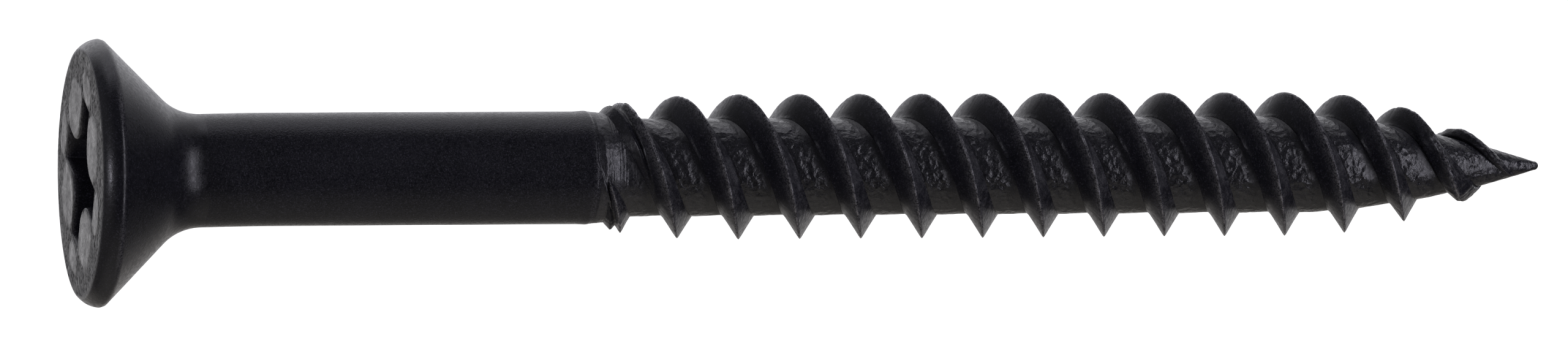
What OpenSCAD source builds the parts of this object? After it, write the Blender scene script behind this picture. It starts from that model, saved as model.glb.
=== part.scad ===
// Countersunk wood screw with a cross recess and a two-start thread.
// The axis is Z. The flat face of the head is at z = 0 and the point is at z = -screw_len.
// Depths are counted from the face down to the point. Sizes are in millimetres.

/* [Screw] */
// Overall length, from the face of the head to the point
screw_len = 50; // [40:1:70]
// Diameter of the plain shank
shank_d = 3.7; // [3.5:0.1:4.2]
// Depth at which the shank ends and the thread begins
thread_from = 17.1; // [8:0.1:22]

/* [Head] */
// Diameter of the head at the back edge of its rim
head_d = 8.8; // [7.3:0.1:10.6]
// Included angle of the countersink
head_angle = 90; // [80:1:100]
// Height of the rounded rim between the face and the cone
rim_h = 0.66; // [0.5:0.01:0.8]
// Radius of the rim's rounding
rim_r = 0.83; // [0.81:0.01:1.2]
// Radius of the fillet between the cone and the shank
neck_r = 1.9; // [1:0.1:2.5]

/* [Cross recess] */
// Width across two opposite wings, at the face
recess_w = 4.9; // [4.4:0.1:5.2]
// Width of one wing
wing_w = 1.2; // [1:0.05:1.4]
// Radius of the rounded corners between the wings
lobe_r = 0.95; // [0.6:0.05:1.1]
// Depth of the recess on the axis
recess_depth = 2.9; // [2.4:0.1:3]
// Depth at which the floor of a wing begins
wing_depth = 2.1; // [1.6:0.1:2.3]
// Included angle at which the ends of the wings close in
wing_taper = 26.5; // [20:0.5:30]
// Angle from the X axis to the first wing
recess_turn = -26; // [-45:1:45]

/* [Thread] */
// Outside diameter over the crests
thread_d = 4.82; // [4.6:0.02:5.8]
// Diameter of the core between the flights
core_d = 3.2; // [2.6:0.1:3.6]
// Advance of one flight in one turn
lead = 4.2; // [3.4:0.02:5.2]
// Included angle of a flight's section
flank_angle = 60; // [40:1:65]
// Width of the crest's flat
crest_w = 0.06; // [0.04:0.01:0.12]
// Angle around the axis at which the first flight begins, from the X axis
start_turn = 254; // [0:1:360]

/* [Point] */
// Length of the point, where the core narrows
point_len = 7.8; // [6:0.1:10]
// Radius of the rounded tip
tip_r = 0.1; // [0.08:0.01:0.2]

/* [Hidden] */
steel = [0.12, 0.12, 0.14];
face_grey = [0.36, 0.36, 0.37];
$fn = 96;

head_r = head_d / 2;
shank_r = shank_d / 2;
core_r = core_d / 2;
thread_r = thread_d / 2;
recess_r = recess_w / 2;
cone_half = head_angle / 2;

// Where the fillet meets the cone, and the depth at which it meets the shank
fillet_top_r = shank_r + neck_r * (1 - cos(cone_half));
head_h = rim_h + (head_r - fillet_top_r) / tan(cone_half) + neck_r * sin(cone_half);

// The shank steps down to the core over this length
step_len = 0.6;
core_from = thread_from + step_len;
point_from = screw_len - point_len;
point_steps = 16;

// The flights rise over run_in and fade out over fade, which ends at thread_to
run_in = 3.4;
fade = 1.4;
thread_to = screw_len - 1.5;
steps_a_turn = 36;
flight_steps = floor((thread_to - thread_from) / lead * steps_a_turn);
least_h = 0.02;

// How much of the narrowing is a curve: 0 makes a straight cone, and 1 a parabola
core_curve = 0.62;
crest_curve = 0.77;

over = 0.5; // cutters reach this far past the face

function clamp01(t) = min(1, max(0, t));
function blend(a, b, t) = a + (b - a) * t;

// Radius at a depth in the point, for a surface that starts at radius r
function narrowed(r, depth, curve) =
    let (t = clamp01((depth - point_from) / (point_len - tip_r)))
    blend(r, tip_r, (1 - curve) * t + curve * t * t);

// Radius of the surface that carries the flights
function root_r(depth) =
    depth < core_from ? blend(shank_r, core_r, clamp01((depth - thread_from) / step_len))
    : narrowed(core_r, depth, core_curve);

// Height of a flight over that surface
function flight_h(depth) =
    let (
        rise = 1 - pow(1 - clamp01((depth - thread_from) / run_in), 2),
        full = blend(shank_r, narrowed(thread_r, depth, crest_curve), rise) - root_r(depth)
    )
    max(least_h, full * clamp01((thread_to - depth) / fade));

// The four corners of a flight's section, as [radius, depth]
function section(depth) =
    let (
        h = flight_h(depth),
        foot = crest_w / 2 + h * tan(flank_angle / 2),
        above = max(thread_from, depth - foot),
        below = depth + foot
    )
    [
        [root_r(above), above],
        [root_r(depth) + h, depth - crest_w / 2],
        [root_r(depth) + h, depth + crest_w / 2],
        [root_r(below), below]
    ];

function around(p, turn) = [p[0] * cos(turn), p[0] * sin(turn), -p[1]];

// One flight: a section swept down the screw, right-handed
module flight(turn) {
    points = [
        for (i = [0:flight_steps])
            let (depth = thread_from + i * lead / steps_a_turn)
            for (p = section(depth)) around(p, turn - i * 360 / steps_a_turn)
    ];
    last = 4 * flight_steps;
    sides = [
        for (i = [0:flight_steps - 1], k = [0:3])
            let (a = 4 * i + k, b = 4 * i + (k + 1) % 4)
            each [[a, b, b + 4], [a, b + 4, a + 4]]
    ];
    caps = [[0, 2, 1], [0, 3, 2], [last, last + 1, last + 2], [last, last + 2, last + 3]];
    polyhedron(points, concat(sides, caps), convexity = 20);
}

// Half outline of the head: face, rounded rim, cone and neck fillet
module head_outline() {
    difference() {
        intersection() {
            polygon([
                [0, 0],
                [head_r, 0],
                [head_r, -rim_h],
                [fillet_top_r, neck_r * sin(cone_half) - head_h],
                [shank_r, -head_h],
                [0, -head_h]
            ]);
            union() {
                translate([head_r - rim_r, -rim_h]) circle(rim_r);
                translate([0, -rim_h]) square([head_r - rim_r, rim_h + over]);
                translate([0, -head_h]) square([head_r, head_h - rim_h]);
            }
        }
        translate([shank_r + neck_r, -head_h]) circle(neck_r);
    }
}

// The metal between two neighbouring wings, with its corner rounded
module lobe() {
    corner = wing_w / 2;
    translate([corner + lobe_r, corner + lobe_r]) circle(lobe_r);
    translate([corner + lobe_r, corner]) square(head_r);
    translate([corner, corner + lobe_r]) square(head_r);
}

// Half outline of the space that the wings stay within
module recess_outline() {
    slope = tan(wing_taper / 2);
    polygon([
        [0, over],
        [recess_r + over * slope, over],
        [recess_r - wing_depth * slope, -wing_depth],
        [0, -recess_depth]
    ]);
}

module recess() {
    rotate([0, 0, recess_turn]) intersection() {
        rotate_extrude() recess_outline();
        translate([0, 0, -recess_depth]) linear_extrude(recess_depth + over) difference() {
            square(head_d, center = true);
            for (turn = [0:90:270]) rotate(turn) lobe();
        }
    }
}

module head() {
    color(face_grey) difference() {
        rotate_extrude() head_outline();
        recess();
    }
}

module shank() {
    color(steel) translate([0, 0, -thread_from]) cylinder(h = thread_from - head_h, r = shank_r);
}

module core() {
    color(steel) {
        translate([0, 0, -core_from]) cylinder(h = step_len, r1 = core_r, r2 = shank_r);
        translate([0, 0, -point_from]) cylinder(h = point_from - core_from, r = core_r);
    }
}

module thread_a() {
    color(steel) flight(start_turn);
}

module thread_b() {
    color(steel) flight(start_turn + 180);
}

// The core narrows in a curve to a tip that is rounded off
module point() {
    tip_from = screw_len - tip_r;
    profile = [
        for (i = [0:point_steps])
            let (depth = blend(point_from, tip_from, i / point_steps))
            [root_r(depth), -depth]
    ];
    rounding = [for (turn = [15:15:75]) [tip_r * cos(turn), -tip_from - tip_r * sin(turn)]];
    color(steel) rotate_extrude()
        polygon(concat([[0, -point_from]], profile, rounding, [[0, -screw_len]]));
}

head();
shank();
core();
thread_a();
thread_b();
point();
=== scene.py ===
import math
import bmesh
import bpy
from mathutils import Matrix, Vector, noise


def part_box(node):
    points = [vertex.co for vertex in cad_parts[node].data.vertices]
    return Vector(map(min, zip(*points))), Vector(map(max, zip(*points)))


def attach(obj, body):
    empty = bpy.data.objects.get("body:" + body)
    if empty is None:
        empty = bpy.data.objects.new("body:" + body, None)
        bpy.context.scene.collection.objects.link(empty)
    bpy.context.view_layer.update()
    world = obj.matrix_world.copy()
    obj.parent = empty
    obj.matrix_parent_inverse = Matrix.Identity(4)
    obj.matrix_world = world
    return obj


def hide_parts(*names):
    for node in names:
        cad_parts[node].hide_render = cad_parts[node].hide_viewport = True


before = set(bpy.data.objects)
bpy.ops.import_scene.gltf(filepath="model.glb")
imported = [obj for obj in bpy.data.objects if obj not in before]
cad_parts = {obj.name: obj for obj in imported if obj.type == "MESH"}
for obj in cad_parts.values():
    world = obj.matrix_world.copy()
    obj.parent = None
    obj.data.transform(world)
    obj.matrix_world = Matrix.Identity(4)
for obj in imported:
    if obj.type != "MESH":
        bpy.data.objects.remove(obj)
noise.seed_set(5)                     # without a seed, the vector noise follows the clock
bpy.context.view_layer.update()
print("frame loaded:", sorted(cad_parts))

# The screw hangs from its face at z = 0 down to its point. Depths are counted down from the face.
mm = 0.001
headBox, shankBox, coreBox, pointBox = [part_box(node) for node in ("head", "shank", "core", "point")]

screw = {
    "headRadius": headBox[1].x,
    "headHeight": -headBox[0].z,
    "shankRadius": shankBox[1].x + 0.012 * mm,
    "shankEnd": -shankBox[0].z,       # the thread starts here
    "coreRadius": pointBox[1].x,
    "pointStart": -coreBox[0].z,
    "length": -pointBox[0].z,
    "crestRadius": 2.41 * mm,
    "threadEnd": 49.1 * mm,
    "lead": 4.2 * mm,                 # two flights, so crests are half of this apart
    "startTurn": math.radians(254),   # where the first flight begins, from the X axis
    "startLag": 0.30 * mm,            # a flight starts this late
    "catchUp": (0.3 * mm, 1.5 * mm),  # and catches up over this stretch below the shank
    "bluntTurns": (45.6 * mm, 47.0 * mm),   # between these depths the last turns grow blunt and wide
    "tipRadius": 0.15 * mm,
    "coreCurve": 0.62,                # how much of the narrowing is a curve, on the core
    "crestCurve": 0.77,               # and on the crests
    "headRunout": 0.10 * mm,          # the head was struck a little off the wire's axis
    "headRunoutReach": 1.6,           # and it takes this many head heights to come back to it
    "tipRunout": 0.10 * mm,           # the point was pinched off a little to the same side
}

groove = {
    "firstBite": 0.22,                # the share of its depth that the groove has at once
    "biting": (0.8 * mm, 1.95 * mm),  # it deepens with the distance to the next crest
    "firstStep": (-0.17 * mm, -0.07 * mm),   # the shank steps down in two ramps
    "lastStep": (-0.1 * mm, 0.95 * mm),
}


def clampOne(t):
    return min(1.0, max(0.0, t))


def blend(a, b, t):
    return a + (b - a) * t


def smoothStep(low, high, value):
    t = clampOne((value - low) / (high - low))
    return t * t * (3 - 2 * t)


def narrowed(radius, depth, curve):
    end = screw["length"] - screw["tipRadius"]
    t = clampOne((depth - screw["pointStart"]) / (end - screw["pointStart"]))
    return blend(radius, screw["tipRadius"], (1 - curve) * t + curve * t * t)


def phaseAt(turn, depth):
    # how far past a crest a spot is, from 0 to 1 at the next crest
    phase = 2 * ((depth - screw["shankEnd"]) / screw["lead"] + (turn - screw["startTurn"]) / (2 * math.pi))
    return phase - math.floor(phase)


def grooveStart(turn, depth):
    # the dies bite little by little: the groove beside a flight is shallow for its first half turn
    first = groove["firstBite"]
    toCrest = (1 - phaseAt(turn, depth - 0.5 * lagAt(depth))) * screw["lead"] / 2
    past = depth - screw["shankEnd"]
    bitten = blend(first, 1, smoothStep(*groove["biting"], past + toCrest))
    ramp = blend(smoothStep(*groove["lastStep"], past), smoothStep(*groove["firstStep"], past), first)
    return bitten * ramp


def lagAt(depth):
    return screw["startLag"] * (1 - smoothStep(*screw["catchUp"], depth - screw["shankEnd"]))


def rootRadius(turn, depth):
    stepped = blend(screw["shankRadius"], screw["coreRadius"], grooveStart(turn, depth))
    radius = stepped + narrowed(screw["coreRadius"], depth, screw["coreCurve"]) - screw["coreRadius"]
    intoTip = depth - screw["length"] + screw["tipRadius"]
    if intoTip > 0:
        radius = min(radius, math.sqrt(max(screw["tipRadius"] ** 2 - intoTip ** 2, 0)))
    return radius


def drift(depth):
    # how far the axis wanders in x
    head = screw["headRunout"] * (1 - smoothStep(0, screw["headHeight"] * screw["headRunoutReach"], depth))
    tip = screw["tipRunout"] * smoothStep(screw["pointStart"], screw["length"], depth)
    return -head - tip


def addObject(name, data):
    thing = bpy.data.objects.new(name, data)
    bpy.context.scene.collection.objects.link(thing)
    return thing


def makeObject(name, mesh, material):
    mesh.materials.append(material)
    mesh.shade_smooth()
    return addObject(name, mesh)


def ringMesh(name, rings, marks):
    # rings run down the screw, and the first and last entries are single points that close it.
    # The caps' edges are kept crisp, so that two bars that meet face to face shade as one.
    count = len(rings[1])
    points = [rings[0][0]] + [p for ring in rings[1:-1] for p in ring] + [rings[-1][0]]
    last = len(points) - 1
    faces = [(0, 1 + i, 1 + (i + 1) % count) for i in range(count)]
    for r in range(len(rings) - 3):
        top = 1 + r * count
        for i in range(count):
            j = (i + 1) % count
            faces.append((top + i, top + count + i, top + count + j, top + j))
    bottom = last - count
    faces += [(bottom + (i + 1) % count, bottom + i, last) for i in range(count)]
    mesh = bpy.data.meshes.new(name)
    mesh.from_pydata(points, [], faces)
    for mark, values in marks.items():
        layer = mesh.attributes.new(mark, "FLOAT", "POINT")
        layer.data.foreach_set("value", values)
    mesh.validate()
    crisp = []
    for edge in mesh.edges:
        low, high = sorted(edge.vertices)
        crisp.append((1 <= low and high <= count) or (bottom <= low and high < last))
    mesh.attributes.new("sharp_edge", "BOOLEAN", "EDGE").data.foreach_set("value", crisp)
    return mesh


def spaced(first, last, count, crowd=1.0):
    # depths from first to last; crowd above 1 packs them towards the last
    return [blend(first, last, 1 - (1 - i / count) ** crowd) for i in range(count + 1)]


def roundBar(name, depths, around, radiusAt, markAt, material):
    # a bar turned about the axis, whose radius and marks are worked out at every point
    points = [[(drift(depths[0]), 0, -depths[0])]]
    values = {mark: [value] for mark, value in markAt(0, depths[0]).items()}
    for depth in depths:
        ring = []
        for i in range(around):
            turn = 2 * math.pi * i / around
            radius = radiusAt(turn, depth)
            ring.append((radius * math.cos(turn) + drift(depth), radius * math.sin(turn), -depth))
            for mark, value in markAt(turn, depth).items():
                values[mark].append(value)
        points.append(ring)
    points.append([(drift(depths[-1]), 0, -depths[-1])])
    for mark, value in markAt(0, depths[-1]).items():
        values[mark].append(value)
    return makeObject(name, ringMesh(name, points, values), material)


def feed(tree, socket, value):
    if isinstance(value, bpy.types.NodeSocket):
        tree.links.new(value, socket)
    elif value is not None:
        socket.default_value = value


def addNode(tree, kind, inputs=None, **settings):
    node = tree.nodes.new(kind)
    for setting, value in settings.items():
        setattr(node, setting, value)
    for socket, value in (inputs or {}).items():
        feed(tree, node.inputs[socket], value)
    return node


def calc(tree, operation, *values, clamped=False):
    node = addNode(tree, "ShaderNodeMath", operation=operation, use_clamp=clamped)
    for socket, value in zip(node.inputs, values):
        feed(tree, socket, value)
    return node.outputs[0]


def stretch(tree, value, fromLow, fromHigh, toLow, toHigh, smooth=False):
    node = addNode(tree, "ShaderNodeMapRange", {0: value, 1: fromLow, 2: fromHigh, 3: toLow, 4: toHigh})
    node.interpolation_type = "SMOOTHSTEP" if smooth else "LINEAR"
    return node.outputs[0]


def noiseAt(tree, where, size, detail=3.0, roughness=0.5, warp=0.0, seed=0.0):
    # size is how wide one blotch is, in metres
    scale = calc(tree, "DIVIDE", 1.0, size) if isinstance(size, bpy.types.NodeSocket) else 1 / size
    return addNode(tree, "ShaderNodeTexNoise", {
        "Vector": where, "W": seed, "Scale": scale, "Detail": detail,
        "Roughness": roughness, "Distortion": warp,
    }, noise_dimensions="4D").outputs["Fac"]


def mixColor(tree, factor, low, high):
    node = addNode(tree, "ShaderNodeMix", data_type="RGBA")
    for socket, value in zip((node.inputs[0], node.inputs[6], node.inputs[7]), (factor, low, high)):
        feed(tree, socket, value)
    return node.outputs[2]


coat = {
    "dark": (0.0085, 0.0087, 0.0135, 1),      # the coat in its hollows
    "light": (0.0190, 0.0190, 0.0275, 1),     # and where it has been handled
    "bare": (0.52, 0.51, 0.54, 1),            # rubbed metal on edges, and round the head's rim also a painted highlight line
    "paintedGlint": (0.060, 0.058, 0.078, 1),        # painted glints: light flecks that stand in for sparkle off the coat's crystals
    "paintedGlintSize": 0.045 * mm,
    "grainSize": 0.055 * mm,
    "blotchSize": 1.4 * mm,
    "toneRange": (0.55, 1.05),        # noise that takes the coat from dark to light
    "paintedGlintRange": (0.56, 0.70),
    "nickRange": (0.40, 0.62),
    "grainShare": 0.6,                # of the grain in the tone
    "facetShare": 0.9,                # the folds are mostly facets, with some plain noise
    "foldShare": 0.6,
    "smoothest": -0.07,               # how far the roughness strays
    "roughest": 0.09,
    "metalShare": 0.75,
}


def coatMaterial(name, look):
    material = bpy.data.materials.new(name)
    material.use_nodes = True
    tree = material.node_tree
    shader = tree.nodes["Principled BSDF"]
    where = addNode(tree, "ShaderNodeTexCoord").outputs["Object"]
    wearAndHighlight = addNode(tree, "ShaderNodeAttribute", attribute_name="wearAndHighlight").outputs["Fac"]
    crumple = addNode(tree, "ShaderNodeAttribute", attribute_name="crumple").outputs["Fac"]

    blotches = noiseAt(tree, where, coat["blotchSize"], detail=4, seed=look["seed"])
    grain = noiseAt(tree, where, coat["grainSize"], detail=2, roughness=0.6, seed=look["seed"] + 1)
    streaks = noiseAt(tree, where, coat["grainSize"] * 2.2, detail=1, seed=look["seed"] + 2)
    folds = noiseAt(tree, where, look["foldSize"], detail=3, roughness=0.55, warp=1.6, seed=look["seed"] + 3)
    whirl = addNode(tree, "ShaderNodeTexNoise", {"Vector": where, "Scale": 0.7 / look["foldSize"]})
    shove = addNode(tree, "ShaderNodeVectorMath", {
        0: whirl.outputs["Color"], 1: (look["foldSize"],) * 3,
    }, operation="MULTIPLY")
    shoved = addNode(tree, "ShaderNodeVectorMath", {0: where, 1: shove.outputs[0]}, operation="ADD")
    facets = addNode(tree, "ShaderNodeTexVoronoi", {
        "Vector": shoved.outputs[0], "Scale": 1 / look["foldSize"], "Smoothness": 0.25,
    }, feature="SMOOTH_F1").outputs["Distance"]
    facets = calc(tree, "MULTIPLY", facets, coat["facetShare"])
    ridges = calc(tree, "ADD", facets, calc(tree, "MULTIPLY", folds, coat["foldShare"]))

    tone = calc(tree, "ADD", blotches, calc(tree, "MULTIPLY", grain, coat["grainShare"]))
    coatColor = mixColor(tree, stretch(tree, tone, *coat["toneRange"], 0, 1), coat["dark"], coat["light"])
    # painted glints: lighter flecks scattered through the coat's colour
    paintedGlints = noiseAt(tree, where, coat["paintedGlintSize"], detail=1, seed=look["seed"] + 5)
    coatColor = mixColor(tree, stretch(tree, paintedGlints, *coat["paintedGlintRange"], 0, 1), coatColor, coat["paintedGlint"])
    nicks = stretch(tree, grain, *coat["nickRange"], 0, 1)
    # the wear mark also carries the painted highlight line round the head's rim
    rubbed = calc(tree, "ADD", nicks, stretch(tree, wearAndHighlight, 0.5, 1.0, 0, 0.5), clamped=True)
    wornAndHighlit = calc(tree, "MULTIPLY", wearAndHighlight, rubbed, clamped=True)
    color = mixColor(tree, wornAndHighlit, coatColor, coat["bare"])
    feed(tree, shader.inputs["Base Color"], color)

    smoothest, roughest = look["rough"] + coat["smoothest"], look["rough"] + coat["roughest"]
    rough = stretch(tree, streaks, 0.3, 0.7, smoothest, roughest)
    gloss = calc(tree, "MULTIPLY", crumple, look["crumpleGloss"])
    rough = calc(tree, "SUBTRACT", rough, gloss, clamped=True)
    feed(tree, shader.inputs["Roughness"], rough)
    metal = calc(tree, "MULTIPLY", wornAndHighlit, coat["metalShare"], clamped=True)
    feed(tree, shader.inputs["Metallic"], metal)
    shader.inputs["Specular IOR Level"].default_value = look["specular"]

    grainBump = addNode(tree, "ShaderNodeBump", {
        "Height": grain, "Distance": look["grainHeight"], "Strength": 1.0,
    })
    foldHeight = calc(tree, "MULTIPLY", ridges, crumple)
    foldBump = addNode(tree, "ShaderNodeBump", {
        "Height": foldHeight, "Distance": look["foldHeight"], "Strength": 1.0,
        "Normal": grainBump.outputs["Normal"],
    })
    feed(tree, shader.inputs["Normal"], foldBump.outputs["Normal"])
    return material


# one coat, which came out a little different on each stretch of the screw
looks = {
    "head": {"seed": 5.0, "rough": 0.28, "grainHeight": 0.0055 * mm, "foldSize": 0.3 * mm,
             "foldHeight": 0.004 * mm, "crumpleGloss": 0.0, "specular": 0.62},
    "shank": {"seed": 3.0, "rough": 0.26, "grainHeight": 0.0130 * mm, "foldSize": 0.3 * mm,
              "foldHeight": 0.004 * mm, "crumpleGloss": 0.0, "specular": 0.40},
    "root": {"seed": 7.0, "rough": 0.36, "grainHeight": 0.0040 * mm, "foldSize": 0.24 * mm,
             "foldHeight": 0.038 * mm, "crumpleGloss": 0.13, "specular": 0.95},
    "flight": {"seed": 11.0, "rough": 0.34, "grainHeight": 0.0022 * mm, "foldSize": 0.22 * mm,
               "foldHeight": 0.012 * mm, "crumpleGloss": 0.05, "specular": 0.43},
}
coats = {name: coatMaterial(name + "Coat", looks[name]) for name in ("shank", "root", "flight")}
print("coat materials ready")


head = {
    "rimHeight": 0.66 * mm,
    "rimRadius": 0.83 * mm,           # rounding of the rim, seen from the side
    "neckRadius": 1.9 * mm,
    "edgeRadius": 0.05 * mm,          # small rounding where the rim meets the cone
    "wingReach": 2.45 * mm,           # from the axis to the end of a wing
    "wingWidth": 1.2 * mm,
    "lobeRadius": 0.95 * mm,          # rounding of the metal between two wings
    "wingTaper": math.radians(13.25),
    "sideDraft": math.radians(2.0),
    "wingFloor": 2.1 * mm,
    "centreFloor": 2.9 * mm,
    "mouthRounding": 0.07 * mm,
    "wingTurn": math.radians(-26),
    "padHeight": 0.016 * mm,          # the struck face stands a little proud in eight rounded pads
    "largePad": (2.30 * mm, 1.02 * mm, 1.16 * mm),   # distance from the axis, half length, half width
    "smallPad": (3.02 * mm, 0.50 * mm, 0.80 * mm),
    "padEdge": (0.82, 1.06),          # where a pad ends, as a part of its size
    "padWobble": 0.22,
    "padWobbleSize": 0.7 * mm,
    "pitDepth": 0.014 * mm,
    "pitSize": 0.16 * mm,
    "pitRange": (0.18, 0.55),
    "faceWaviness": 0.004 * mm,
    "faceWaveSize": 0.35 * mm,
    "waviness": 0.003 * mm,
    "waveSize": 0.9 * mm,
    "wallWaviness": 0.006 * mm,
    "wallWaveSize": 0.3 * mm,
    "cornerSoftness": 0.05 * mm,      # the ends of the wings have slightly rounded corners
    "edgeWearAndHighlight": 0.42,
    "faceEdgeWear": 0.3,
    "lipWear": 0.35,
    "mouthWear": 0.25,
    "anglesPerWing": 72,
    "angleShare": 0.35,               # how much the spacing follows the angle and not the outline
    "neckRings": 20,
    "coneRings": 18,
    "rimRings": 18,
    "faceRings": 44,
    "mouthRings": 4,
    "wallRings": 22,
    "floorRings": 10,
}


def crossRadius(turn, depth):
    # outline of the recess at a depth, as a distance from the axis
    a = (turn - head["wingTurn"] + math.pi / 4) % (math.pi / 2) - math.pi / 4
    a = max(abs(a), 1e-4)
    half = head["wingWidth"] / 2 - depth * math.tan(head["sideDraft"])
    tip = (head["wingReach"] - depth * math.tan(head["wingTaper"])) / math.cos(a)
    corner = half + head["lobeRadius"]
    side = half / math.sin(a)
    if side * math.cos(a) < corner:
        away = corner * math.sqrt(2)
        swing = math.pi / 4 - a
        inside = head["lobeRadius"] ** 2 - (away * math.sin(swing)) ** 2
        side = away * math.cos(swing) - math.sqrt(max(inside, 0))
    soft = head["cornerSoftness"]
    h = clampOne(0.5 + (side - tip) / (2 * soft))
    return side + (tip - side) * h - soft * h * (1 - h)


def crossAngles():
    # angles that share the outline's length out evenly, so that the wings' sides are well covered
    fine = 6000
    turns = [head["wingTurn"] + math.pi / 2 * i / fine for i in range(fine + 1)]
    spots = [(crossRadius(t, 0) * math.cos(t), crossRadius(t, 0) * math.sin(t)) for t in turns]
    reach = [0.0]
    for (x0, y0), (x1, y1) in zip(spots, spots[1:]):
        reach.append(reach[-1] + math.hypot(x1 - x0, y1 - y0))
    # some of the weight goes to the angle, which keeps the rim round
    weight = [blend(d / reach[-1], i / fine, head["angleShare"]) for i, d in enumerate(reach)]
    chosen, at = [], 0
    for k in range(head["anglesPerWing"]):
        while weight[at] < k / head["anglesPerWing"]:
            at += 1
        chosen.append(turns[at])
    return [t + math.pi / 2 * wing for wing in range(4) for t in chosen]


def padAt(x, y):
    # 1 on the eight smooth pads of the struck face, 0 between them
    best = 0.0
    for k in range(8):
        away, long, wide = head["smallPad"] if k % 2 == 0 else head["largePad"]
        turn = head["wingTurn"] + k * math.pi / 4
        along = x * math.cos(turn) + y * math.sin(turn) - away
        across = -x * math.sin(turn) + y * math.cos(turn)
        wobble = head["padWobble"] * noise.noise(Vector((x, y, 0.4 * k)) / head["padWobbleSize"])
        edge = math.hypot(along / long, across / wide) + wobble
        best = max(best, 1 - smoothStep(*head["padEdge"], edge))
    return best


def facePits(x, y):
    spot = Vector((x, y, 0)) / head["pitSize"]
    return smoothStep(*head["pitRange"], noise.fractal(spot, 0.7, 2.1, 3))


def headOutline():
    # (radius, depth) from the neck up to the edge of the face
    neckTop = math.pi * 0.75          # the cone's slope, measured round the neck's fillet
    points = []
    for i in range(head["neckRings"] + 1):
        a = blend(math.pi, neckTop, i / head["neckRings"])
        radius = screw["shankRadius"] + head["neckRadius"] * (1 + math.cos(a))
        points.append((radius, screw["headHeight"] - head["neckRadius"] * math.sin(a)))
    cut = head["edgeRadius"] * 0.75
    coneEnd = (screw["headRadius"] - cut, head["rimHeight"] + cut)
    start = points[-1]
    for i in range(1, head["coneRings"] + 1):
        t = i / head["coneRings"]
        points.append((blend(start[0], coneEnd[0], t), blend(start[1], coneEnd[1], t)))
    rimCentre = screw["headRadius"] - head["rimRadius"]
    corner = math.radians(2.5)        # the rim stops short of both its corners, which rounds them
    faceTurn = math.asin(head["rimHeight"] / head["rimRadius"])
    for i in range(1, head["rimRings"] + 1):
        a = blend(corner, faceTurn - corner, i / head["rimRings"])
        radius = rimCentre + head["rimRadius"] * math.cos(a)
        points.append((radius, head["rimHeight"] - head["rimRadius"] * math.sin(a)))
    return points


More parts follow.
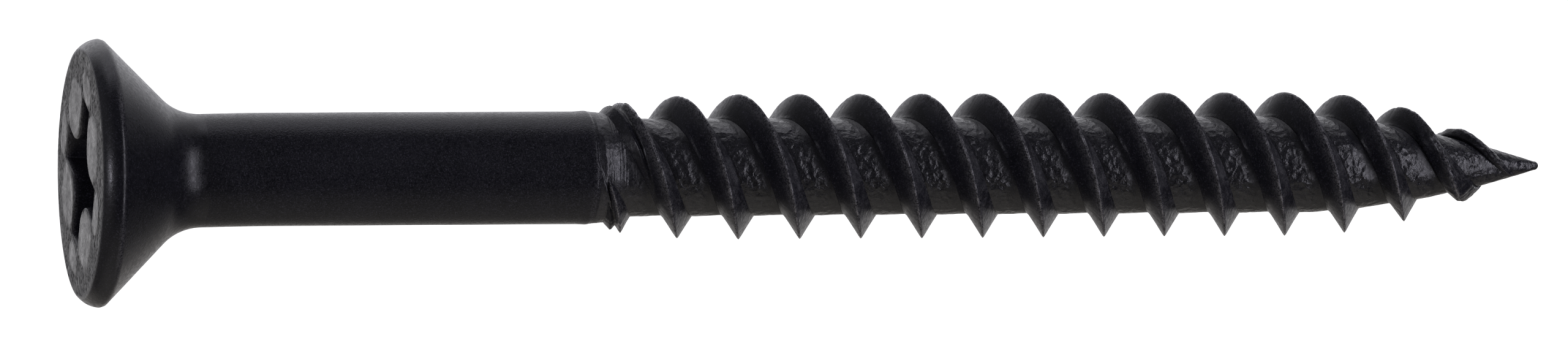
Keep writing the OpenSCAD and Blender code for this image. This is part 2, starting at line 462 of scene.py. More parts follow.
def makeHead():
    turns = crossAngles()
    outline = headOutline()
    rings, values = [], {"wearAndHighlight": [], "crumple": [], "face": [], "pad": []}

    def addRing(radii, depths, wearsAndHighlights, faces, pads):
        ring = []
        for turn, radius, depth, wearAndHighlight, face, pad in zip(turns, radii, depths, wearsAndHighlights, faces, pads):
            ring.append((radius * math.cos(turn) + drift(depth), radius * math.sin(turn), -depth))
            values["wearAndHighlight"].append(wearAndHighlight)
            values["crumple"].append(0.0)
            values["face"].append(face)
            values["pad"].append(pad)
        rings.append(ring)

    count = len(turns)
    flat = [0.0] * count
    for radius, depth in outline:
        nearEdge = 1 - smoothStep(0.02 * mm, 0.11 * mm, abs(depth - head["rimHeight"]))
        nearFace = 1 - smoothStep(0.0, 0.05 * mm, depth)
        radii = []
        for turn in turns:
            spot = Vector((radius * math.cos(turn), radius * math.sin(turn), depth)) / head["waveSize"]
            faded = smoothStep(0, 1 * mm, screw["headHeight"] - depth)
            radii.append(radius + head["waviness"] * noise.noise(spot) * faded)
        # the ring where the rim meets the cone is rubbed metal and also a painted highlight line
        wearsAndHighlights = []
        for turn in turns:
            rub = clampOne(0.5 + 1.2 * noise.noise(Vector((math.cos(turn), math.sin(turn), 7)) * 3.1))
            wearsAndHighlights.append(head["edgeWearAndHighlight"] * nearEdge * rub + head["faceEdgeWear"] * nearFace)
        addRing(radii, [depth] * count, wearsAndHighlights, flat, flat)
    faceRadius = outline[-1][0]
    for i in range(1, head["faceRings"] + 1):
        f = i / head["faceRings"]
        radii, depths, wearsAndHighlights, faces, pads = [], [], [], [], []
        for turn in turns:
            mouth = crossRadius(turn, 0) + head["mouthRounding"]
            radius = blend(faceRadius - 0.03 * mm, mouth, f ** 0.85)
            x, y = radius * math.cos(turn), radius * math.sin(turn)
            pad, pit = padAt(x, y), facePits(x, y)
            inside = smoothStep(0, 0.25 * mm, faceRadius - radius)
            lip = smoothStep(0, 0.12 * mm, radius - mouth)
            height = head["padHeight"] * pad * lip - head["pitDepth"] * pit * (1 - pad)
            height += head["faceWaviness"] * noise.noise(Vector((x, y, 2)) / head["faceWaveSize"])
            radii.append(radius)
            depths.append(-height * inside)
            wearsAndHighlights.append(head["lipWear"] * (1 - lip))
            faces.append(1.0)
            pads.append(pad)
        addRing(radii, depths, wearsAndHighlights, faces, pads)
    # round the mouth over into the walls
    for i in range(1, head["mouthRings"] + 1):
        t = i / head["mouthRings"]
        a = math.pi / 2 * t
        depth = head["mouthRounding"] * (1 - math.cos(a))
        radii = [crossRadius(turn, 0) + head["mouthRounding"] * (1 - math.sin(a)) for turn in turns]
        addRing(radii, [depth] * count, [head["mouthWear"]] * count, [1 - t] * count, flat)
    # walls, down to a floor that falls towards the axis
    floorReach = head["wingReach"] - head["wingFloor"] * math.tan(head["wingTaper"])
    slope = (head["centreFloor"] - head["wingFloor"]) / floorReach
    feet = []
    for turn in turns:
        depth = head["wingFloor"]
        for again in range(8):
            depth = head["centreFloor"] - slope * crossRadius(turn, depth)
        feet.append(depth)
    for i in range(1, head["wallRings"] + 1):
        depths = [blend(head["mouthRounding"], foot, i / head["wallRings"]) for foot in feet]
        radii = []
        for turn, depth in zip(turns, depths):
            radius = crossRadius(turn, depth)
            spot = Vector((radius * math.cos(turn), radius * math.sin(turn), depth * 0.5))
            radii.append(radius + head["wallWaviness"] * noise.noise(spot / head["wallWaveSize"]))
        addRing(radii, depths, flat, flat, flat)
    for i in range(1, head["floorRings"]):
        f = 1 - i / head["floorRings"]
        radii = [crossRadius(turn, foot) * f for turn, foot in zip(turns, feet)]
        depths = [head["centreFloor"] - slope * radius for radius in radii]
        addRing(radii, depths, flat, flat, flat)

    rings.insert(0, [(0, 0, -screw["headHeight"])])
    rings.append([(drift(head["centreFloor"]), 0, -head["centreFloor"])])
    for mark in values:
        values[mark] = [values[mark][0]] + values[mark] + [values[mark][-1]]
    mesh = ringMesh("countersunkHead", rings, values)
    mesh.flip_normals()               # these rings run up the head, so the faces are turned round
    return makeObject("countersunkHead", mesh, headCoat)


faceFinish = {
    "faceGreyAndSheen": (0.115, 0.115, 0.116, 1),         # the struck face between the pads, lighter than the coat and partly a painted reflection of the bright room
    "padPaleAndSheen": (0.245, 0.243, 0.242, 1),         # the pads, which the punch pressed smooth, paler still and partly a painted reflection
    "pitDark": (0.010, 0.010, 0.012, 1),
    "pitSize": 0.12 * mm,
    "pitDepth": 0.014 * mm,
    "pitRange": (0.48, 0.60),
    "mottleSize": 0.45 * mm,
    "mottleRange": (0.40, 0.60),
    "rough": 0.44,
}


def headMaterial():
    material = coatMaterial("headCoat", looks["head"])
    tree = material.node_tree
    shader = tree.nodes["Principled BSDF"]
    where = addNode(tree, "ShaderNodeTexCoord").outputs["Object"]
    face = addNode(tree, "ShaderNodeAttribute", attribute_name="face").outputs["Fac"]
    pad = addNode(tree, "ShaderNodeAttribute", attribute_name="pad").outputs["Fac"]
    mottle = noiseAt(tree, where, faceFinish["mottleSize"], detail=5, roughness=0.65, seed=21)
    pits = noiseAt(tree, where, faceFinish["pitSize"], detail=2, roughness=0.6, seed=22)
    pitted = stretch(tree, pits, *faceFinish["pitRange"], 0, 1)
    fewer = calc(tree, "MULTIPLY", pitted, stretch(tree, pad, 0, 1, 0.95, 0.35))
    blotch = stretch(tree, mottle, *faceFinish["mottleRange"], -0.50, 0.50)
    # partly painted reflection: the face is coloured paler, most of all on the pads
    sheenPaleness = calc(tree, "ADD", calc(tree, "MULTIPLY", pad, 0.8), blotch, clamped=True)
    struck = mixColor(tree, sheenPaleness, faceFinish["faceGreyAndSheen"], faceFinish["padPaleAndSheen"])
    struck = mixColor(tree, fewer, struck, faceFinish["pitDark"])
    coated = shader.inputs["Base Color"].links[0].from_socket
    feed(tree, shader.inputs["Base Color"], mixColor(tree, face, coated, struck))

    coatRough = shader.inputs["Roughness"].links[0].from_socket
    faceRough = stretch(tree, mottle, 0.36, 0.64, faceFinish["rough"] - 0.10, faceFinish["rough"] + 0.12)
    faceRough = calc(tree, "SUBTRACT", faceRough, calc(tree, "MULTIPLY", pad, 0.12))
    faceRough = calc(tree, "ADD", faceRough, calc(tree, "MULTIPLY", fewer, 0.15))
    roughness = addNode(tree, "ShaderNodeMix", {0: face, 2: coatRough, 3: faceRough})
    feed(tree, shader.inputs["Roughness"], roughness.outputs[0])
    height = calc(tree, "MULTIPLY", calc(tree, "MULTIPLY", pits, -1.0), face)
    before = shader.inputs["Normal"].links[0].from_socket
    pitBump = addNode(tree, "ShaderNodeBump", {
        "Height": height, "Distance": faceFinish["pitDepth"], "Strength": 1.0, "Normal": before,
    })
    feed(tree, shader.inputs["Normal"], pitBump.outputs["Normal"])
    return material


headCoat = headMaterial()
headPiece = makeHead()
print("head built:", len(headPiece.data.polygons), "faces")


shank = {
    "rings": 170,
    "around": 192,
    "waviness": 0.004 * mm,
    "lipHeight": 0.030 * mm,          # metal pushed up where the dies began to bite
    "lipWidth": 0.22 * mm,
    "wearAndHighlight": 0.035,
    "lipWear": 0.10,
}


def shankRadius(turn, depth):
    spot = Vector((math.cos(turn), math.sin(turn), depth / (3 * mm)))
    faded = smoothStep(0, 1 * mm, depth - screw["headHeight"])
    radius = rootRadius(turn, depth) + shank["waviness"] * noise.noise(spot * 1.3) * faded
    toEnd = (screw["shankEnd"] - depth) / shank["lipWidth"]
    lip = math.exp(-(toEnd - 0.9) ** 2) * max(0.0, 0.55 + 0.9 * noise.noise(spot * 2.1))
    return radius + shank["lipHeight"] * lip


def shankMarks(turn, depth):
    toEnd = (screw["shankEnd"] - depth) / shank["lipWidth"]
    return {"wearAndHighlight": shank["wearAndHighlight"] + shank["lipWear"] * math.exp(-(toEnd - 0.7) ** 2 * 6), "crumple": 0.0}


shankDepths = spaced(screw["headHeight"], screw["shankEnd"], shank["rings"], 1.5)
shankPiece = roundBar("plainShank", shankDepths, shank["around"], shankRadius, shankMarks, coats["shank"])
print("shank built:", len(shankPiece.data.polygons), "faces")


root = {
    "around": 192,
    "foldSize": 0.36 * mm,
    "foldDepth": 0.030 * mm,          # the rolled metal between two flights is crumpled
    "crownHeight": 0.03 * mm,         # and slopes down a little from one flight to the next
    "streakDepth": 0.010 * mm,        # drawn marks run round the bar where it steps down
    "streakWidth": 0.045 * mm,
    "sink": 0.006 * mm,               # the bar lies a little under its drawn size below the step
    "fineEnd": 19.2 * mm,             # the rings are closest down to this depth
    "fineRings": 90,
    "coreRings": 320,
    "pointRings": 170,
    "valleyWear": 0.05,
    "stepWear": 0.08,
}


def valleyMark(turn, depth):
    # 1 where the metal between two crests is crumpled, and 0 at the feet of the flights
    phase = phaseAt(turn, depth)
    crumpled = smoothStep(0.18, 0.28, phase) * (1 - smoothStep(0.50, 0.74, phase))
    crumpled = max(crumpled, smoothStep(*screw["bluntTurns"], depth))
    return crumpled * smoothStep(0.5 * mm, 1.6 * mm, depth - screw["shankEnd"])


def crownMark(turn, depth):
    # 1 where the metal between two crests stands highest, next to the upper flight
    phase = phaseAt(turn, depth)
    return smoothStep(0.08, 0.24, phase) * (1 - smoothStep(0.26, 0.80, phase))


def stepMark(depth):
    # 1 on the step below the shank
    past = depth - screw["shankEnd"]
    return smoothStep(-0.1 * mm, 0.2 * mm, past) * (1 - smoothStep(0.8 * mm, 1.5 * mm, past))


def coreRadius(turn, depth):
    base = rootRadius(turn, depth)
    spot = Vector((base * math.cos(turn), base * math.sin(turn), depth)) / root["foldSize"]
    shove = noise.noise_vector(spot * 0.8)
    fold = noise.fractal(spot + shove * 0.9, 0.6, 2.1, 4)
    cell = noise.voronoi(spot * 1.15 + shove * 0.5)[0][0]
    ridge = 0.12 - 0.3 * abs(fold) + 0.5 * (cell - 0.5)
    valley = valleyMark(turn, depth)
    thin = clampOne(base / screw["coreRadius"])
    rough = root["foldDepth"] * (0.25 + 0.75 * valley) * ridge * (0.45 + 0.55 * thin)
    crown = root["crownHeight"] * crownMark(turn, depth) * thin
    streakSpot = Vector((math.cos(turn), math.sin(turn), depth / root["streakWidth"]))
    streak = root["streakDepth"] * noise.noise(streakSpot) * stepMark(depth)
    past = depth - screw["shankEnd"]
    sunk = root["sink"] * smoothStep(0, 0.3 * mm, past)
    late = smoothStep(0, 0.2 * mm, past)
    tip = smoothStep(0, 0.25 * mm, screw["length"] - depth)
    return base + (rough + crown + streak) * late * tip - sunk * tip


def coreMarks(turn, depth):
    valley, step = valleyMark(turn, depth), stepMark(depth)
    wearAndHighlight = root["valleyWear"] * valley + root["stepWear"] * step
    return {"wearAndHighlight": wearAndHighlight, "crumple": max(valley, 0.5 * step)}


coreDepths = spaced(screw["shankEnd"], root["fineEnd"], root["fineRings"])[:-1]
coreDepths += spaced(root["fineEnd"], screw["pointStart"], root["coreRings"])
corePiece = roundBar("rolledCore", coreDepths, root["around"], coreRadius, coreMarks, coats["root"])
pointDepths = spaced(screw["pointStart"], screw["length"] - 0.002 * mm, root["pointRings"], 1.35)
pointPiece = roundBar("sharpPoint", pointDepths, root["around"], coreRadius, coreMarks, coats["root"])
print("core and point built:", len(corePiece.data.polygons) + len(pointPiece.data.polygons), "faces")


flight = {
    "ringsPerTurn": 210,
    "columns": 29,
    "runIn": 3.6 * mm,                # the crest climbs to its full height over this length
    "fade": 2.3 * mm,                 # and the last of it sinks into the point
    "flankAngle": math.radians(31.5),
    "crestRound": 0.05,               # as a part of the flank's width
    "rootFlare": 0.14,
    "bury": 0.16 * mm,                # how far the underside lies inside the core
    "nickSize": 0.26 * mm,
    "nickDepth": 0.030 * mm,
    "waviness": 0.010 * mm,
    "earlyStart": 0.42 * mm,          # a flight is born this far above the end of the shank
    "raggedFrom": 44.8 * mm,          # the last turns were rolled from too little metal
    "raggedOver": 1.8 * mm,
    "raggedness": 0.085 * mm,
    "seamDepth": 0.075 * mm,          # a fold is left open along a crest that isn't full
    "slowSize": 1.6 * mm,
    "tearSize": 0.55 * mm,
    "dentSize": 0.34 * mm,
    "dentDepth": 0.030 * mm,
    "tornDentDepth": 0.10 * mm,
    "unfilled": (1.2 * mm, 3.8 * mm), # the crest is torn until it has travelled this far
    "doubled": (0.9 * mm, 2.7 * mm),  # and double until it has travelled this far
    "secondFall": 0.65,               # how fast the lower of the two ridges falls off
    "bluntRound": 0.45,
    "bluntSpread": (0.04 * mm, 0.27 * mm),  # extra width of the last turns, towards the head and the tip
    "footDrop": 0.05 * mm,
    "birthHeight": 0.55,
    "climb": 0.45,
    "scuff": 0.32,                    # wear on the flank towards the tip
    "crumpled": 0.6,                  # and how crumpled that flank is
}


def flightTree():
    tree = bpy.data.node_groups.new("rolledFlight", "GeometryNodeTree")
    tree.is_modifier = True
    sizes = {
        "Start Turn": 0.0, "Start Depth": screw["shankEnd"], "End Depth": screw["threadEnd"],
        "Early Start": flight["earlyStart"], "Start Lag": screw["startLag"], "Lead": screw["lead"],
        "Shank Radius": screw["shankRadius"], "Core Radius": screw["coreRadius"],
        "Crest Radius": screw["crestRadius"], "Tip Radius": screw["tipRadius"],
        "Run In": flight["runIn"], "Fade": flight["fade"], "Flank Angle": flight["flankAngle"],
        "Crest Round": flight["crestRound"], "Root Flare": flight["rootFlare"], "Bury": flight["bury"],
        "Point Start": screw["pointStart"], "Point End": screw["length"] - screw["tipRadius"],
        "Core Curve": screw["coreCurve"], "Crest Curve": screw["crestCurve"],
        "Nick Size": flight["nickSize"], "Nick Depth": flight["nickDepth"], "Waviness": flight["waviness"],
        "Ragged From": flight["raggedFrom"], "Ragged Over": flight["raggedOver"],
        "Raggedness": flight["raggedness"], "Seam Depth": flight["seamDepth"], "Seed": 0.0,
    }
    counts = {"Rings": 1200, "Columns": flight["columns"]}
    for name, value in sizes.items():
        tree.interface.new_socket(name, in_out="INPUT", socket_type="NodeSocketFloat").default_value = value
    for name, value in counts.items():
        tree.interface.new_socket(name, in_out="INPUT", socket_type="NodeSocketInt").default_value = value
    tree.interface.new_socket("Coat", in_out="INPUT", socket_type="NodeSocketMaterial")
    tree.interface.new_socket("Geometry", in_out="OUTPUT", socket_type="NodeSocketGeometry")
    given = tree.nodes.new("NodeGroupInput").outputs

    def work(operation, *values, clamped=False):
        return calc(tree, operation, *values, clamped=clamped)

    def mixed(low, high, factor):
        return work("ADD", low, work("MULTIPLY", work("SUBTRACT", high, low), factor))

    def narrowing(radius, depth, curve):
        t = stretch(tree, depth, given["Point Start"], given["Point End"], 0, 1)
        bend = mixed(t, work("MULTIPLY", t, t), curve)
        return mixed(radius, given["Tip Radius"], bend)

    def rootAt(depth):
        return narrowing(given["Core Radius"], depth, given["Core Curve"])

    def place(radius, turn, depth):
        x = work("MULTIPLY", radius, work("COSINE", turn))
        y = work("MULTIPLY", radius, work("SINE", turn))
        z = work("MULTIPLY", depth, -1.0)
        return addNode(tree, "ShaderNodeCombineXYZ", {0: x, 1: y, 2: z}).outputs[0]

    grid = addNode(tree, "GeometryNodeMeshGrid", {
        "Size X": 1.0, "Size Y": 1.0, "Vertices X": given["Rings"], "Vertices Y": given["Columns"],
    })
    spot = addNode(tree, "ShaderNodeSeparateXYZ", {0: addNode(tree, "GeometryNodeInputPosition").outputs[0]})
    along = work("ADD", spot.outputs[0], 0.5)
    across = work("MULTIPLY", spot.outputs[1], 2.0)              # -1 to 1 over the section

    # the crest's own path
    born = work("SUBTRACT", given["Start Depth"], given["Early Start"])
    path = mixed(born, given["End Depth"], along)
    travelled = work("SUBTRACT", path, given["Start Depth"])
    lagging = stretch(tree, travelled, *screw["catchUp"], 1, 0, smooth=True)
    middle = work("ADD", path, work("MULTIPLY", lagging, given["Start Lag"]))
    turned = work("MULTIPLY", work("DIVIDE", travelled, given["Lead"]), 2 * math.pi)
    turn = work("SUBTRACT", given["Start Turn"], turned)
    rise = work("POWER", work("DIVIDE", travelled, given["Run In"], clamped=True), flight["climb"])
    fadeStart = work("SUBTRACT", given["End Depth"], given["Fade"])
    sink = work("SQRT", stretch(tree, middle, fadeStart, given["End Depth"], 1, 0))
    full = narrowing(given["Crest Radius"], middle, given["Crest Curve"])
    crest = mixed(given["Shank Radius"], full, rise)
    root = rootAt(middle)
    unborn = work("MULTIPLY", given["Early Start"], -1.0)
    birth = stretch(tree, travelled, unborn, 0.35 * mm, flight["birthHeight"], 1, smooth=True)
    height = work("MULTIPLY", work("MULTIPLY", work("SUBTRACT", crest, root), sink), birth)

    # irregularities: small nicks everywhere, and torn metal where the crest isn't full
    crestPoint = place(crest, turn, middle)
    nickNoise = noiseAt(tree, crestPoint, given["Nick Size"], detail=2, roughness=0.6, seed=given["Seed"])
    nick = stretch(tree, nickNoise, 0.54, 0.74, 0, 1)
    slow = noiseAt(tree, crestPoint, flight["slowSize"], detail=2, seed=given["Seed"])
    slow = work("MULTIPLY", work("SUBTRACT", slow, 0.5), 2.0)
    raggedFull = work("ADD", given["Ragged From"], given["Ragged Over"])
    ragged = stretch(tree, middle, given["Ragged From"], raggedFull, 0, 1, smooth=True)
    unfilled = stretch(tree, travelled, *flight["unfilled"], 0.6, 0, smooth=True)
    loose = work("MAXIMUM", ragged, unfilled)
    tearSeed = work("ADD", given["Seed"], 5.0)
    tearNoise = noiseAt(tree, crestPoint, flight["tearSize"], detail=3, roughness=0.6, seed=tearSeed)
    tear = work("MULTIPLY", work("SUBTRACT", tearNoise, 0.5), work("MULTIPLY", given["Raggedness"], 4.0))
    change = work("ADD", work("MULTIPLY", slow, given["Waviness"]), work("MULTIPLY", tear, loose))
    cut = work("MULTIPLY", nick, work("MULTIPLY", given["Nick Depth"], work("ADD", 1.0, loose)))
    shown = stretch(tree, height, 0.02 * mm, 0.25 * mm, 0, 1)
    change = work("MULTIPLY", work("SUBTRACT", change, cut), shown)
    tall = work("ADD", height, change)

    # the section: a V with a rounded crest and flared feet, and its underside folded to one line
    columns = work("SUBTRACT", given["Columns"], 1.0)
    lastEdge = work("DIVIDE", work("SUBTRACT", columns, 2.0), columns)
    size = work("ABSOLUTE", across)
    early = stretch(tree, travelled, *flight["doubled"], 1, 0, smooth=True)
    late = stretch(tree, middle, *screw["bluntTurns"], 0, 1, smooth=True)
    headward = work("LESS_THAN", across, 0.0)
    foot = work("ADD", 1.03, given["Root Flare"])
    x = work("MULTIPLY", work("DIVIDE", size, lastEdge), foot)
    under = work("GREATER_THAN", size, work("ADD", lastEdge, 0.001))
    # until a crest fills up it is double, with a lower ridge on the side of the head
    widened = work("MULTIPLY", work("MULTIPLY", early, headward), 0.95)
    reach = work("MULTIPLY", x, work("ADD", 1.0, widened))
    signed = work("MULTIPLY", reach, work("SIGN", across))
    blunt = work("ADD", given["Crest Round"], work("MULTIPLY", late, flight["bluntRound"]))
    squared = work("ADD", work("MULTIPLY", reach, reach), work("MULTIPLY", blunt, blunt))
    rounded = work("SUBTRACT", work("SQRT", squared), blunt)
    slope = work("SUBTRACT", 1.0, rounded)
    offRidge = work("ABSOLUTE", work("ADD", signed, 1.0))
    doubled = work("MULTIPLY", early, stretch(tree, travelled, 0.0, 0.6 * mm, 0.4, 0.84))
    second = work("SUBTRACT", doubled, work("MULTIPLY", offRidge, flight["secondFall"]))
    profile = work("SMOOTH_MAX", work("SMOOTH_MAX", slope, second, 0.22), 0.0, given["Root Flare"])
    beside = work("ABSOLUTE", work("SUBTRACT", work("MULTIPLY", x, work("SIGN", across)), -0.12))
    seam = stretch(tree, beside, 0.02, 0.22, 1, 0, smooth=True)
    seam = work("MULTIPLY", seam, work("MULTIPLY", loose, shown))
    opened = stretch(tree, tearNoise, 0.35, 0.6, 0, 1)
    seam = work("MULTIPLY", seam, work("MULTIPLY", given["Seam Depth"], opened))
    seam = work("MULTIPLY", seam, work("SUBTRACT", 1.0, early))
    halfWidth = work("MULTIPLY", height, work("TANGENT", given["Flank Angle"]))
    spread = stretch(tree, across, -0.01, 0.01, *flight["bluntSpread"])
    halfWidth = work("ADD", halfWidth, work("MULTIPLY", work("MULTIPLY", late, sink), spread))
    lean = work("MULTIPLY", work("SUBTRACT", tearNoise, 0.5), 0.35)
    lean = work("MULTIPLY", lean, work("MULTIPLY", loose, profile))
    shift = work("MULTIPLY", halfWidth, work("ADD", signed, lean))
    topSide = work("SUBTRACT", 1.0, under)
    depth = work("ADD", middle, work("MULTIPLY", shift, topSide))
    body = work("SUBTRACT", work("MULTIPLY", tall, profile), seam)
    atFoot = stretch(tree, x, work("ADD", 1.0, given["Root Flare"]), foot, 0, 1)
    lifted = work("SUBTRACT", body, work("MULTIPLY", atFoot, flight["footDrop"]))
    topRadius = work("ADD", rootAt(depth), lifted)
    bare = place(topRadius, turn, depth)
    flankSeed = work("ADD", given["Seed"], 9.0)
    flankNoise = noiseAt(tree, bare, flight["dentSize"], detail=3, roughness=0.6, seed=flankSeed)
    dentDepth = work("ADD", flight["dentDepth"], work("MULTIPLY", loose, flight["tornDentDepth"]))
    dent = work("MULTIPLY", work("SUBTRACT", flankNoise, 0.5), dentDepth)
    dented = work("ADD", topRadius, work("MULTIPLY", dent, work("MULTIPLY", profile, shown)))
    underRadius = work("MAXIMUM", work("SUBTRACT", root, given["Bury"]), 0.02 * mm)
    atEnd = work("GREATER_THAN", work("ABSOLUTE", spot.outputs[0]), 0.49999)
    hidden = work("MAXIMUM", under, atEnd)
    radius = mixed(dented, underRadius, hidden)
    finalDepth = mixed(depth, middle, hidden)

    # marks for the coat: where the crest is rubbed bare, and where the metal is crumpled
    onCrest = stretch(tree, x, 0.03, 0.15, 1, 0, smooth=True)
    rubbed = work("MULTIPLY", onCrest, stretch(tree, nickNoise, 0.36, 0.60, 0.3, 1))
    scuffed = stretch(tree, flankNoise, 0.42, 0.62, 0.02, flight["scuff"])
    scuffed = work("MULTIPLY", work("GREATER_THAN", across, 0.0), scuffed)
    patchy = stretch(tree, flankNoise, 0.4, 0.55, 0.3, 1)
    besideCrest = work("MULTIPLY", stretch(tree, x, 0.12, 0.50, 0.30, 0), patchy)
    wearAndHighlight = work("MULTIPLY", work("MAXIMUM", work("MAXIMUM", rubbed, besideCrest), scuffed), topSide)
    crumple = work("MAXIMUM", stretch(tree, x, 0.75, 1.1, 0, 1), loose)
    tipward = work("MULTIPLY", work("GREATER_THAN", across, 0.02), flight["crumpled"])
    crumple = work("MAXIMUM", crumple, tipward)
    marked = grid.outputs["Mesh"]     # stored on the flat grid, which these values are worked out from
    for mark, value in (("wearAndHighlight", wearAndHighlight), ("crumple", crumple)):
        marked = addNode(tree, "GeometryNodeStoreNamedAttribute", {
            "Geometry": marked, "Name": mark, "Value": value,
        }, data_type="FLOAT", domain="POINT").outputs[0]
    moved = addNode(tree, "GeometryNodeSetPosition", {
        "Geometry": marked, "Position": place(radius, turn, finalDepth),
    }).outputs[0]
    closed = addNode(tree, "GeometryNodeMergeByDistance", {
        "Geometry": moved, "Distance": 0.0005 * mm,
    }).outputs[0]
    real = addNode(tree, "GeometryNodeRealizeInstances", {"Geometry": closed}).outputs[0]
    coated = addNode(tree, "GeometryNodeSetMaterial", {"Geometry": real, "Material": given["Coat"]})
    tree.links.new(coated.outputs[0], tree.nodes.new("NodeGroupOutput").inputs[0])
    return tree


def makeFlight(name, tree, startTurn, seed):
    holder = addObject(name + "Holder", bpy.data.meshes.new(name + "Holder"))
    grown = holder.modifiers.new("flight", "NODES")
    grown.node_group = tree
    turns = (screw["threadEnd"] - screw["shankEnd"] + flight["earlyStart"]) / screw["lead"]
    chosen = {
        "Start Turn": startTurn, "Seed": seed, "Coat": coats["flight"],
        "Rings": round(turns * flight["ringsPerTurn"]),
    }
    for item in tree.interface.items_tree:
        if item.in_out == "INPUT" and item.name in chosen:
            grown[item.identifier] = chosen[item.name]
    bpy.context.view_layer.update()
    seen = holder.evaluated_get(bpy.context.evaluated_depsgraph_get())
    mesh = bpy.data.meshes.new_from_object(seen)
    holder.modifiers.remove(grown)
    bpy.data.objects.remove(holder)
    for vertex in mesh.vertices:
        vertex.co.x += drift(-vertex.co.z)
    mesh.name = name
    mesh.shade_smooth()
    turnOutward(mesh)
    return addObject(name, mesh)


def turnOutward(mesh):
    shape = bmesh.new()
    shape.from_mesh(mesh)
    bmesh.ops.recalc_face_normals(shape, faces=shape.faces)
    shape.to_mesh(mesh)
    shape.free()


rolled = flightTree()
flightOne = makeFlight("flightOne", rolled, screw["startTurn"], 1.0)
flightTwo = makeFlight("flightTwo", rolled, screw["startTurn"] + math.pi, 40.0)
print("flights rolled:", len(flightOne.data.polygons), "and", len(flightTwo.data.polygons), "faces")

for piece, node, finish in (
    (headPiece, "head", "head_face"),
    (shankPiece, "shank", "black_steel"),
    (corePiece, "core", "black_steel"),
    (pointPiece, "point", "black_steel"),
    (flightOne, "thread_a", "black_steel"),
    (flightTwo, "thread_b", "black_steel"),
):
    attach(piece, "root")
    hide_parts(node)


studio = {
    "floorDrop": 70 * mm,             # how far the floor lies under the head
    "floorSize": 4.0,
    "floorColor": (0.93, 0.93, 0.93, 1),
    "floorGlow": 1.0,
    # how bright the room is on each side of the screw; x is up in the view and z runs along the screw
    "front": 0.048,
    "back": 0.95,
    "above": 0.42,
    "below": 0.24,
    "ceiling": 0.16,                  # where the head's face looks
    "dim": 0.02,
    "lowerShare": 0.20,               # of the back's light that is left low down
    "endShare": 0.15,                 # and at both ends
    "middle": -0.20,                  # the light is centred a little below the level of the face
    "cool": (0.99, 0.985, 1.035, 1),
    "warm": (1.06, 1.0, 0.93, 1),
    "lampTint": (0.97, 0.95, 1.08),
}

# where each lamp stands, where it points, its width and height, and its watts
lamps = {
    "lowFront": ((0.02, -0.40, -0.47), (0, 0, -0.02), 0.75, 0.16, 0.84),
    "highFront": ((0.0, -0.33, 0.50), (0, 0, -0.005), 0.08, 0.055, 0.34),
    "side": ((0.60, 0.10, 0.0), (0, 0, -0.02), 0.35, 0.5, 0.2),
}

view = {
    "distance": 379.5 * mm,
    "tilt": math.radians(14.2),
    "roll": math.radians(0.315),
    "lens": 262.4,
    "aim": Vector((-0.277, 0, -23.74)) * mm,
}


def makeFloor():
    half = studio["floorSize"] / 2
    z = -studio["floorDrop"]
    mesh = bpy.data.meshes.new("paleFloor")
    corners = [(-half, -half, z), (half, -half, z), (half, half, z), (-half, half, z)]
    mesh.from_pydata(corners, [], [(0, 1, 2, 3)])
    material = bpy.data.materials.new("paleFloor")
    material.use_nodes = True
    shader = material.node_tree.nodes["Principled BSDF"]
    shader.inputs["Base Color"].default_value = studio["floorColor"]
    shader.inputs["Roughness"].default_value = 0.8
    shader.inputs["Emission Color"].default_value = (1, 1, 1, 1)
    shader.inputs["Emission Strength"].default_value = studio["floorGlow"]
    mesh.materials.append(material)
    floor = addObject("paleFloor", mesh)
    floor.visible_diffuse = False     # dark cards would stand here in a studio
    floor.visible_glossy = False
    floor.visible_shadow = False


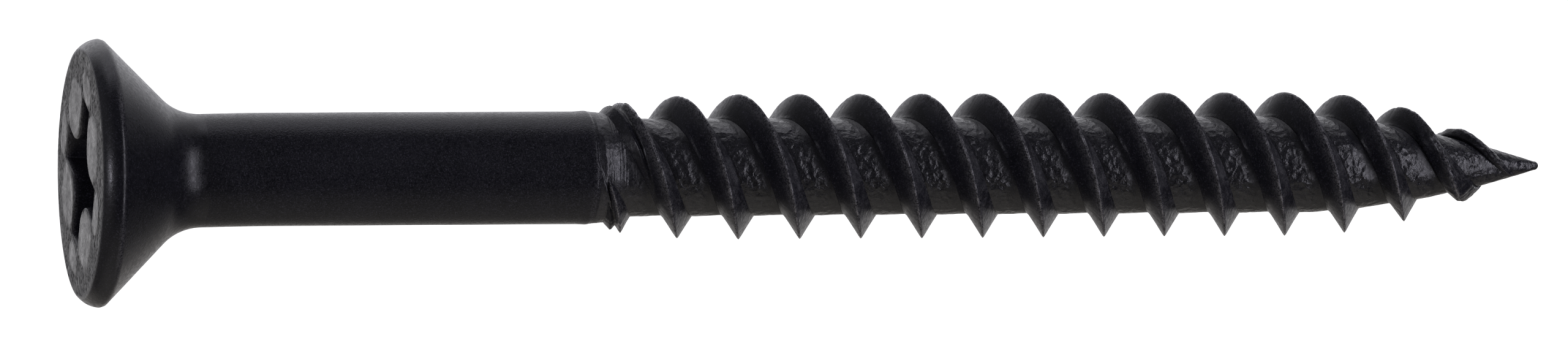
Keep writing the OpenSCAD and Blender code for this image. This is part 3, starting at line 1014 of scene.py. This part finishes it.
def makeRoom():
    world = bpy.data.worlds.new("softRoom")
    bpy.context.scene.world = world
    world.use_nodes = True
    tree = world.node_tree
    tree.nodes.clear()
    way = addNode(tree, "ShaderNodeTexCoord").outputs["Generated"]
    x, y, z = addNode(tree, "ShaderNodeSeparateXYZ", {0: way}).outputs
    fromFront = stretch(tree, y, 0.0, 0.85, studio["front"], studio["back"], smooth=True)
    overTop = calc(tree, "MULTIPLY", stretch(tree, x, 0.2, 0.95, 0, 1, smooth=True), studio["above"])
    overTop = calc(tree, "MULTIPLY", overTop, stretch(tree, y, -0.28, 0.20, 0, 1, smooth=True))
    bright = calc(tree, "MAXIMUM", fromFront, overTop)
    lower = stretch(tree, x, -0.65, 0.22, studio["lowerShare"], 1.0, smooth=True)
    aside = calc(tree, "ABSOLUTE", calc(tree, "SUBTRACT", z, studio["middle"]))
    level = stretch(tree, aside, 0.41, 0.76, 1.0, studio["endShare"], smooth=True)
    bright = calc(tree, "MULTIPLY", calc(tree, "MULTIPLY", bright, lower), level)
    under = stretch(tree, x, -0.98, -0.55, studio["below"], studio["dim"], smooth=True)
    ceiling = stretch(tree, z, 0.25, 0.9, studio["dim"], studio["ceiling"], smooth=True)
    bright = calc(tree, "MAXIMUM", calc(tree, "MAXIMUM", bright, under), ceiling)
    tint = mixColor(tree, stretch(tree, x, -0.5, 0.1, 0, 1), studio["warm"], studio["cool"])
    room = addNode(tree, "ShaderNodeBackground", {"Color": tint, "Strength": bright})
    plain = addNode(tree, "ShaderNodeBackground", {"Color": (1, 1, 1, 1), "Strength": 1.0})
    seen = addNode(tree, "ShaderNodeLightPath").outputs["Is Camera Ray"]
    both = addNode(tree, "ShaderNodeMixShader", {0: seen, 1: room.outputs[0], 2: plain.outputs[0]})
    tree.links.new(both.outputs[0], tree.nodes.new("ShaderNodeOutputWorld").inputs[0])


def softBox(name, where, aim, width, height, watts):
    lamp = bpy.data.lights.new(name, "AREA")
    lamp.shape = "RECTANGLE"
    lamp.size = width
    lamp.size_y = height
    lamp.energy = watts
    lamp.color = studio["lampTint"]
    box = addObject(name, lamp)
    box.location = where
    box.rotation_euler = (Vector(aim) - Vector(where)).to_track_quat("-Z", "Y").to_euler()
    box.visible_camera = False


def makeCamera():
    # looks at the screw from the front and a little above, turned so that the head is on the left
    back = Vector((0, -math.cos(view["tilt"]), math.sin(view["tilt"])))
    up = Vector((1, 0, 0))
    right = up.cross(back)
    turned = Matrix.Rotation(-view["roll"], 3, back)
    right, up = turned @ right, turned @ up
    lens = bpy.data.cameras.new("camera")
    lens.sensor_width = 36
    lens.lens = view["lens"]
    lens.clip_start = 0.01
    lens.clip_end = 20
    camera = addObject("camera", lens)
    axes = Matrix((right, up, back)).transposed().to_4x4()
    camera.matrix_world = Matrix.Translation(view["aim"] + back * view["distance"]) @ axes
    bpy.context.scene.camera = camera


makeFloor()
makeRoom()
for name, lamp in lamps.items():
    softBox(name, *lamp)
makeCamera()
bpy.context.scene.view_settings.view_transform = "Standard"
print("studio set")
